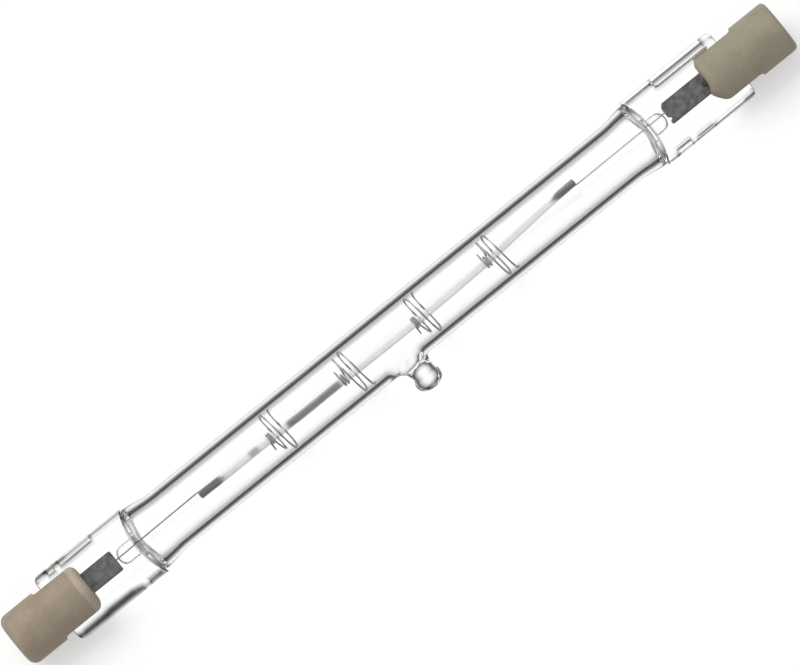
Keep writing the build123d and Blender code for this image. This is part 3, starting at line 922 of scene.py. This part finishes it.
# %% Sizes of the caps
cap_front, slot_end, cap_rear, contact_face = 47.6, 53.6, 58.8, 57.1
cap_radius, slot_half, slot_fillet = 3.525, 1.54, 0.5
recess_radius, seat_radius, jaw_length = 1.8, 1.43, 1.5
front_rounds, rear_rounds = {-1: (0.75, 1.0), 1: (0.75, 1.3)}, {-1: 1.15, 1: 0.6}
bulge_depth, bulge_y, bulge_width = 0.42, -1.35, 0.75
arc_share = np.linspace(0, 1, 97)


# %% The edge of the outer skin, and a cap's sheets
def jaw_line(rear_round):
    """Along the slot's face, round its corner, down its end wall to the middle, and out to the rear."""
    quarter = np.linspace(0, pi / 2, 10)
    bend, corner = np.sin(quarter[1:]), slot_half - slot_fillet
    front = cap_front + jaw_length * (1 - np.cos(quarter))
    run = np.linspace(cap_front + jaw_length, slot_end - slot_fillet, 12)[1:]
    wall = np.full(5, slot_end)
    rear = np.linspace(slot_end, cap_rear - rear_round, 14)[1:]
    last = cap_rear - rear_round * (1 - bend)
    s = [front, run, slot_end - slot_fillet * (1 - bend), wall, rear, last]
    z = [np.full(21, slot_half), corner + slot_fillet * np.cos(quarter[1:]), np.linspace(corner, 0, 6)[1:]]
    return np.concatenate(s), np.concatenate([*z, np.zeros(22)])


def cap_sheets(side):
    """Outer halves: arcs whose radius is the cap's less both edge rounds and a little unevenness.

    An arc starts and ends at the angle whose sine is the edge's height over the radius. Its middle
    moves on with the length of the edge line, so no two arcs cross.
    """
    rear_round = rear_rounds[side]
    s_edge, z_edge = jaw_line(rear_round)
    length = np.concatenate([[0], np.cumsum(np.hypot(np.diff(s_edge), np.diff(z_edge)))])
    s_mid = cap_front + (cap_rear - cap_front) * length / length[-1]
    inwards = ease(np.minimum(arc_share, 1 - arc_share), 0, 0.35)
    s = s_edge[:, None] + (s_mid - s_edge)[:, None] * inwards
    upper_round, lower_round = front_rounds[side]
    front = upper_round + (lower_round - upper_round) * ease(arc_share, 0.5, 0.95)
    radius = cap_radius - round_off(s - cap_front, front) - round_off(cap_rear - s, rear_round)
    waves = np.sin(2.3 * s + 7 * arc_share) + np.sin(4.7 * s - 11 * arc_share + side)
    radius += 0.012 * inwards * ease(cap_rear - s, 0, 1) * waves
    first, last = (np.arcsin(z_edge / radius[:, k])[:, None] for k in (0, -1))
    angle = first + arc_share * (pi - first - last)
    y, z = radius * np.cos(angle), radius * np.sin(angle)
    seam = int(np.argmax(z_edge < 1e-9)) + 1
    y_slot = y[:seam, :1] + arc_share * (y[:seam, -1:] - y[:seam, :1])
    down = np.linspace(0, 1, 6)[:, None]
    y_face, z_face = y[0] + down * (y_slot[0] - y[0]), z[0] + down * (slot_half - z[0])
    half = [(s, y, z), (s_edge[:seam, None], y_slot, z_edge[:seam, None]), (cap_front, y_face, z_face)]
    return [stacked(x, y, up * z) for up in (1, -1) for x, y, z in half]


def recess_sheet(side):
    """The rear as a profile turned round the lamp: rear face, recess, seat, and its closed bottom."""
    bottom = slot_end + 0.02
    profile = np.array(
        [
            (cap_rear, cap_radius - rear_rounds[side]), (cap_rear, 2.15), (cap_rear, 1.95), (cap_rear - 0.04, 1.86),
            (cap_rear - 0.14, recess_radius), (contact_face + 0.08, recess_radius),
            (contact_face, recess_radius - 0.08), (contact_face, seat_radius),
            (bottom, seat_radius), (bottom, 0.7), (bottom, 0.0001),
        ]
    )
    angle = np.concatenate([pi * arc_share, -pi * arc_share[-2::-1]])
    return stacked(profile[:, :1], profile[:, 1:] * np.cos(angle), profile[:, 1:] * np.sin(angle))


def ceramic_cap(side, name):
    """Joins the sheets at their shared points. The right cap's front bulges forward in one place."""
    points, faces, start = [], [], 0
    for sheet in [*cap_sheets(side), recess_sheet(side)]:
        rows, count = sheet.shape[:2]
        here = (np.arange(rows - 1)[:, None] * count + np.arange(count - 1)).reshape(-1, 1)
        faces += (start + here + [0, 1, count + 1, count]).tolist()
        flat = sheet.reshape(-1, 3)
        if side > 0:
            bulge = bulge_depth * np.exp(-(((flat[:, 1] - bulge_y) / bulge_width) ** 2))
            flat[:, 0] -= bulge * (1 - ease(flat[:, 0], cap_front, cap_front + jaw_length))
        points.append(flat * [side, 1, 1])
        start += len(flat)
    points, nodes = np.concatenate(points), [f"ceramic_cap_{name}"]
    piece = make_piece(f"steatite_cap_{name}", points, faces, steatite[side], nodes, "steatite")
    work = bmesh.new()
    work.from_mesh(piece.data)
    bmesh.ops.remove_doubles(work, verts=work.verts, dist=0.0000015)
    bmesh.ops.recalc_face_normals(work, faces=work.faces)
    open_edges = sum(not edge.is_manifold for edge in work.edges)
    print(piece.name, "open edges", open_edges, "volume", round(work.calc_volume(signed=True) * 1e9, 1), "mm3")
    work.to_mesh(piece.data)
    work.free()
    piece.data.set_sharp_from_angle(angle=radians(38))


for side, name in side_names.items():
    ceramic_cap(side, name)

# %% Finishes of the CAD pieces that stay
for name in side_names.values():
    for kind, material in (("cement", cement_skin), ("contact", plated)):
        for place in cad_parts[f"{kind}_{name}"].material_slots:
            place.material = material

# %% [markdown]
# ## Floor, light and camera
#
# The floor is pale and plain. Rays from the camera, and those that come off glass and metal, see a
# little glow added to it, so that the unshaded floor is white and the shadow stays.


# %% The floor
def floor_finish(glow):
    """A pale matte floor with a small glow for camera and glossy rays, open to rays out of glass."""
    add, finished = new_material("pale_floor")
    path = add("ShaderNodeLightPath").outputs
    shine = worked(add, "MULTIPLY", worked(add, "MAXIMUM", path["Is Camera Ray"], path["Is Glossy Ray"]), glow)
    matte = add("ShaderNodeBsdfDiffuse", {"Color": (0.6, 0.6, 0.6, 1.0)})
    light = add("ShaderNodeEmission", {"Strength": shine})
    both = add("ShaderNodeAddShader", {0: matte.outputs[0], 1: light.outputs[0]}).outputs[0]
    clear = add("ShaderNodeBsdfTransparent").outputs[0]
    return finished(add("ShaderNodeMixShader", {0: path["Is Transmission Ray"], 1: both, 2: clear}))


floor_glow, floor_half = 0.46, 4
corners = [(x * floor_half, y * floor_half, 0) for x, y in ((-1, -1), (1, -1), (1, 1), (-1, 1))]
mesh = bpy.data.meshes.new("studio_floor")
mesh.from_pydata(corners, [], [(0, 1, 2, 3)])
mesh.materials.append(floor_finish(floor_glow))
studio_floor = bpy.data.objects.new("studio_floor", mesh)
bpy.context.scene.collection.objects.link(studio_floor)
studio_floor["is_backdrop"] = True

# %% [markdown]
# Clear glass shows nothing but what is behind it, bent. Photographers draw its outline with dark
# flags round a white background: where the wall bends a ray far enough aside, it meets a flag and
# not the white. The world holds such a ring of flags for rays that come through glass. It lies
# below the lamp, with one gap in it, and everything outside the ring is white again.


# %% The world, with a ring of flags below the lamp
gap_direction = (-0.641, 0.641, -0.423)


def studio_world():
    """The light is a plain grey, the camera sees white, and glass sees white less the flags.

    The ring's depth is a smooth step in the sine of the angle from straight behind the lamp,
    and another step ends it on the far side. The gap is a smooth step round its own direction.
    """
    world = bpy.data.worlds.new("studio")
    bpy.context.scene.world = world
    world.use_nodes = True
    add = node_maker(world.node_tree)
    heading = add("ShaderNodeTexCoord").outputs["Generated"]

    def step(value, low, high):
        return share_between(add, value, low, high, interpolation_type="SMOOTHSTEP")

    def times(one, other):
        return worked(add, "MULTIPLY", one, other)

    def one_less(value):
        return worked(add, "SUBTRACT", 1.0, value)

    behind = reach_towards(add, heading, -through)
    sine = worked(add, "SQRT", one_less(times(behind, behind)))
    ring = times(step(sine, 0.10, 0.70), step(behind, 0.46, 0.56))
    closed = one_less(step(reach_towards(add, heading, gap_direction), cos(radians(13)), cos(radians(6))))
    path = add("ShaderNodeLightPath").outputs
    white = one_less(times(times(ring, closed), path["Is Transmission Ray"]))
    seen = worked(add, "MAXIMUM", path["Is Camera Ray"], path["Is Transmission Ray"])
    seen = worked(add, "MAXIMUM", seen, path["Is Glossy Ray"])
    soft, bright = (add("ShaderNodeBackground", {"Color": (1, 1, 1, 1), "Strength": v}) for v in (0.55, white))
    mix = add("ShaderNodeMixShader", {0: seen, 1: soft.outputs[0], 2: bright.outputs[0]})
    add("ShaderNodeOutputWorld", {"Surface": mix.outputs[0]})


studio_world()

# %% One broad soft lamp
key_light = bpy.data.lights.new("broad_light", "SUN")
key_light.energy = 0.5 * pi
key_light.angle = radians(50)
key = bpy.data.objects.new("broad_light", key_light)
toward = Vector((-0.35, 0.75, 1.2)).normalized()
key.rotation_euler = toward.to_track_quat("Z", "Y").to_euler()
key.location = toward * 2
bpy.context.scene.collection.objects.link(key)

# %% [markdown]
# The camera looks squarely onto the flat of the lamp, from far off and through a long lens, and it
# is turned so that the lamp rises 39 degrees to the right.

# %% The camera
tilt = radians(39.0)
distance, view_width = 1.5, 0.09558
right = Vector(cos(tilt) * lengthwise - sin(tilt) * across).normalized()
up = Vector(sin(tilt) * lengthwise + cos(tilt) * across).normalized()
target = Vector(to_row([0.32, -0.01, 0.0]))
camera_data = bpy.data.cameras.new("photo_camera")
camera_data.lens = camera_data.sensor_width * distance / view_width
camera_data.clip_end = 20
camera = bpy.data.objects.new("photo_camera", camera_data)
turned = Matrix((right, up, Vector(through))).transposed().to_4x4()
camera.matrix_world = Matrix.Translation(target + Vector(through) * distance) @ turned
bpy.context.scene.collection.objects.link(camera)
bpy.context.scene.camera = camera
bpy.context.scene.view_settings.view_transform = "Standard"
print("lens", round(camera_data.lens), "mm")

# %% The size of the dressed model
visual_box = [list(corner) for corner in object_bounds()]
print("visual box in mm", [[round(v * 1000, 2) for v in c] for c in visual_box])
